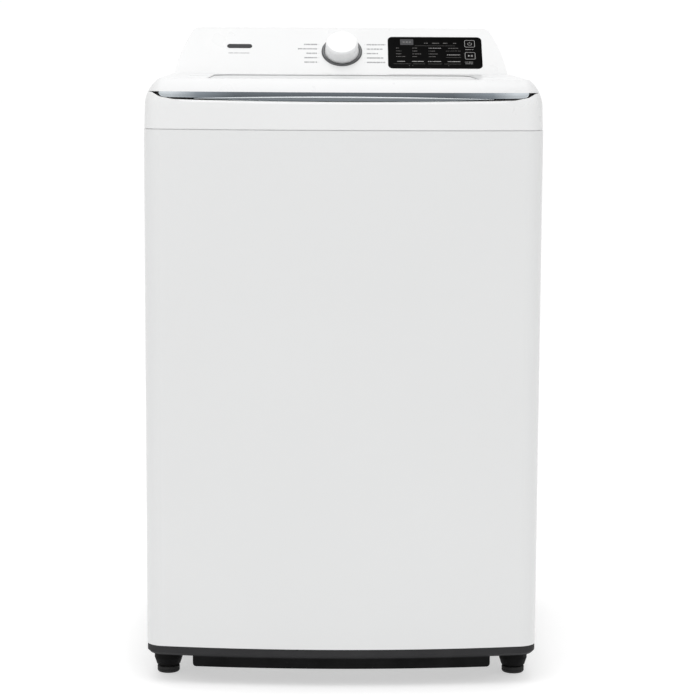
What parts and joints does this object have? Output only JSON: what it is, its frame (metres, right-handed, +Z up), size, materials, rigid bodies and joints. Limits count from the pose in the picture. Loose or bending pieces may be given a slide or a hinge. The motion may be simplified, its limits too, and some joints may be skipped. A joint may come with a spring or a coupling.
{
  "type": "top load washing machine",
  "caption": "White top load washing machine: bowed cabinet on a black base, full-width glass lid, sloping console with a dial and a black display, suspended tub, spinning basket and wash plate.",
  "frame": {"origin": "on the floor, at the centre of the overall footprint", "axes": "+Z up, the front with the lid's lip faces -Y, +X to the right seen from the front"},
  "size_m": [0.686, 0.721, 1.144],
  "materials": {
    "white_enamel": "gloss enamel",
    "white_moulding": "semi-gloss",
    "black_moulding": "fine grain",
    "galvanised": "zinc coated",
    "stainless": "brushed",
    "grey_plastic": "moulded",
    "pale_plastic": "moulded",
    "blue_plastic": "moulded",
    "black_rubber": "matt",
    "cast_hub": "as cast",
    "black_glass": "gloss black back-printed",
    "tinted_glass": "clear grey",
    "bright_trim": "polished",
    "circuit_board": "solder mask",
    "steel_dark": "phosphated",
    "white_key": "gloss"
  },
  "bodies": {
    "cabinet": {"base_frame": "black_moulding", "cabinet_wrap": "white_enamel", "rear_panel": "galvanised", "rear_access_cover": "galvanised", "back_screws": "galvanised", "suspension_brackets": "galvanised", "suspension_rods": "galvanised", "suspension_springs": "steel_dark", "drain_pump": "pale_plastic", "sump_boot": "black_rubber", "drain_tube": "black_rubber", "drain_spigot": "grey_plastic", "inlet_hoses": "black_rubber", "inlet_valve_hot": "pale_plastic", "inlet_valve_cold": "blue_plastic", "power_cord_gland": "black_rubber", "top_cover": "white_moulding", "dispenser_housing": "grey_plastic", "lid_lock": "grey_plastic", "hinge_pins": "stainless", "console_front": "white_moulding", "console_back": "galvanised", "display_glass": "black_glass", "display_housing": "black_moulding", "display_board": "circuit_board", "selector_ring": "bright_trim", "selector_encoder": "circuit_board", "main_board_case": "pale_plastic"},
    "tub": {"outer_tub": "pale_plastic", "tub_cover": "pale_plastic", "bearing_housing": "cast_hub", "bearings": "stainless", "stator": "steel_dark", "suspension_cups": "grey_plastic"},
    "basket": {"wash_basket": "stainless", "basket_base": "grey_plastic", "balance_ring": "grey_plastic", "lint_filters": "blue_plastic", "spin_tube": "stainless"},
    "drive": {"drive_shaft": "stainless", "pulsator": "grey_plastic", "pulsator_cap": "bright_trim", "rotor": "galvanised", "rotor_nut": "stainless"},
    "pump_rotor": {"pump_impeller": "grey_plastic"},
    "drawer": {"dispenser_drawer": "pale_plastic"},
    "lid": {"lid_frame": "white_moulding", "lid_glass": "tinted_glass", "lid_liner": "white_moulding", "lid_trim": "bright_trim", "lid_grip": "bright_trim", "lid_bumpers": "black_rubber"},
    "lock_bolt": {"lid_lock_bolt": "stainless"},
    "knob": {"selector_knob": "white_moulding"},
    "power_button": {"power_key": "white_key"},
    "start_pause_button": {"start_pause_key": "white_key"},
    "foot_front_left_body": {"foot_front_left": "black_rubber"},
    "foot_front_right_body": {"foot_front_right": "black_rubber"},
    "foot_rear_left_body": {"foot_rear_left": "black_rubber"},
    "foot_rear_right_body": {"foot_rear_right": "black_rubber"}
  },
  "joints": [
    {"name": "lid_hinge", "type": "hinge", "parent": "cabinet", "child": "lid", "pos_m": [0, 0.133, 1.04], "axis": [-1, 0, 0], "range_deg": [0, 100]},
    {"name": "tub_suspension", "type": "slide", "parent": "cabinet", "child": "tub", "axis": [0, 0, 1], "range_m": [-0.02, 0.004], "stiffness_N_per_m": 20000, "springref_m": 0.01909, "deforming": ["suspension_springs", "sump_boot"]},
    {"name": "basket_spin", "type": "hinge", "parent": "tub", "child": "basket", "pos_m": [0, -0.035, 0.5], "axis": [0, 0, 1], "continuous": true},
    {"name": "drive_spin", "type": "hinge", "parent": "tub", "child": "drive", "pos_m": [0, -0.035, 0.25], "axis": [0, 0, 1], "continuous": true},
    {"name": "pump_spin", "type": "hinge", "parent": "cabinet", "child": "pump_rotor", "pos_m": [0.165, 0.165, 0.086], "axis": [0, 0, 1], "continuous": true},
    {"name": "drawer_slide", "type": "slide", "parent": "cabinet", "child": "drawer", "axis": [0, -1, 0], "range_m": [0, 0.11]},
    {"name": "lock_bolt_slide", "type": "slide", "parent": "cabinet", "child": "lock_bolt", "axis": [-1, 0, 0], "range_m": [0, 0.011]},
    {"name": "selector_turn", "type": "hinge", "parent": "cabinet", "child": "knob", "pos_m": [0.001, 0.21065, 1.09886], "axis": [0, -0.7009, 0.7133], "continuous": true},
    {"name": "power_press", "type": "slide", "parent": "cabinet", "child": "power_button", "axis": [0, 0.7009, -0.7133], "range_m": [0, 0.001], "stiffness_N_per_m": 1500, "springref_m": -0.0006},
    {"name": "start_pause_press", "type": "slide", "parent": "cabinet", "child": "start_pause_button", "axis": [0, 0.7009, -0.7133], "range_m": [0, 0.001], "stiffness_N_per_m": 1500, "springref_m": -0.0006},
    {"name": "foot_front_left_screw", "type": "slide", "parent": "cabinet", "child": "foot_front_left_body", "axis": [0, 0, -1], "range_m": [0, 0.015]},
    {"name": "foot_front_right_screw", "type": "slide", "parent": "cabinet", "child": "foot_front_right_body", "axis": [0, 0, -1], "range_m": [0, 0.015]},
    {"name": "foot_rear_left_screw", "type": "slide", "parent": "cabinet", "child": "foot_rear_left_body", "axis": [0, 0, -1], "range_m": [0, 0.015]},
    {"name": "foot_rear_right_screw", "type": "slide", "parent": "cabinet", "child": "foot_rear_right_body", "axis": [0, 0, -1], "range_m": [0, 0.015]}
  ]
}
